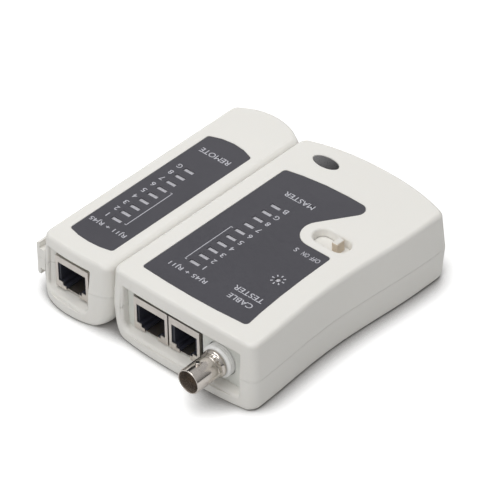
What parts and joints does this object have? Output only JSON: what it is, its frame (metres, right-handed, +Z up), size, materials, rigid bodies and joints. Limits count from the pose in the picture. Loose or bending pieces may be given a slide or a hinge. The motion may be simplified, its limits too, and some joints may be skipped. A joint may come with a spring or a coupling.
{
  "type": "network cable tester",
  "caption": "Palm-sized cable tester: a main unit with modular and coaxial jacks, indicator lamps and slide switch, and a remote unit docked on its side.",
  "frame": {"origin": "centre of the main unit's flat base", "axes": "+Z up out of the base, -Y out of the port end that the plugs leave by, +X away from the docked remote unit"},
  "size_m": [0.106, 0.1217, 0.0306],
  "materials": {
    "case_abs": "fine satin, off-white",
    "panel_abs": "satin, light grey",
    "label_film": "printed film, satin dark grey",
    "lamp_epoxy": "milky diffusing",
    "board_laminate": "solder mask",
    "chip_resin": "moulded black",
    "jack_tin": "bright tinned sheet",
    "jack_nylon": "black nylon",
    "contact_gold": "gold flashed",
    "collar_white": "white moulding",
    "barrel_nickel": "bright nickel plate",
    "insulator_ptfe": "waxy white",
    "screw_steel": "zinc plated",
    "battery_jacket": "plain coated jacket",
    "snap_vinyl": "soft black vinyl",
    "lead_red": "red insulation",
    "knob_beige": "moulded beige"
  },
  "bodies": {
    "main_unit": {"main_top_shell": "case_abs", "main_bottom_shell": "case_abs", "main_port_panel": "panel_abs", "main_label": "label_film", "main_badge": "label_film", "main_led_1": "lamp_epoxy", "main_led_2": "lamp_epoxy", "main_led_3": "lamp_epoxy", "main_led_4": "lamp_epoxy", "main_led_5": "lamp_epoxy", "main_led_6": "lamp_epoxy", "main_led_7": "lamp_epoxy", "main_led_8": "lamp_epoxy", "main_led_g": "lamp_epoxy", "main_led_b": "lamp_epoxy", "power_led": "lamp_epoxy", "main_board": "board_laminate", "sequencer_chip": "chip_resin", "timer_chip": "chip_resin", "main_rj45_shield": "jack_tin", "main_rj11_shield": "jack_tin", "main_rj45_housing": "jack_nylon", "main_rj11_housing": "jack_nylon", "main_rj45_contacts": "contact_gold", "main_rj11_contacts": "contact_gold", "bnc_centre_contact": "contact_gold", "bnc_collar": "collar_white", "bnc_barrel": "barrel_nickel", "bnc_insulator": "insulator_ptfe", "main_screw_1": "screw_steel", "main_screw_2": "screw_steel", "main_screw_3": "screw_steel", "main_screw_4": "screw_steel", "power_switch_can": "screw_steel", "battery_9v": "battery_jacket", "battery_snap": "snap_vinyl", "battery_lead_black": "snap_vinyl", "battery_lead_red": "lead_red"},
    "remote_unit": {"remote_top_shell": "case_abs", "remote_bottom_shell": "case_abs", "remote_label": "label_film", "remote_led_1": "lamp_epoxy", "remote_led_2": "lamp_epoxy", "remote_led_3": "lamp_epoxy", "remote_led_4": "lamp_epoxy", "remote_led_5": "lamp_epoxy", "remote_led_6": "lamp_epoxy", "remote_led_7": "lamp_epoxy", "remote_led_8": "lamp_epoxy", "remote_led_g": "lamp_epoxy", "remote_board": "board_laminate", "remote_rj45_shield": "jack_tin", "remote_rj45_housing": "jack_nylon", "remote_rj45_contacts": "contact_gold", "remote_screw_1": "screw_steel", "remote_screw_2": "screw_steel"},
    "battery_door": {"battery_door": "case_abs"},
    "power_switch": {"power_switch_slider": "snap_vinyl", "power_switch_knob": "knob_beige"}
  },
  "joints": [
    {"name": "remote_dock_slide", "type": "slide", "parent": "main_unit", "child": "remote_unit", "axis": [0, 1, 0], "range_m": [0, 0.105]},
    {"name": "battery_door_slide", "type": "slide", "parent": "main_unit", "child": "battery_door", "axis": [0, 1, 0], "range_m": [0, 0.045]},
    {"name": "power_switch_slide", "type": "slide", "parent": "main_unit", "child": "power_switch", "axis": [-1, 0, 0], "range_m": [0, 0.008]}
  ]
}
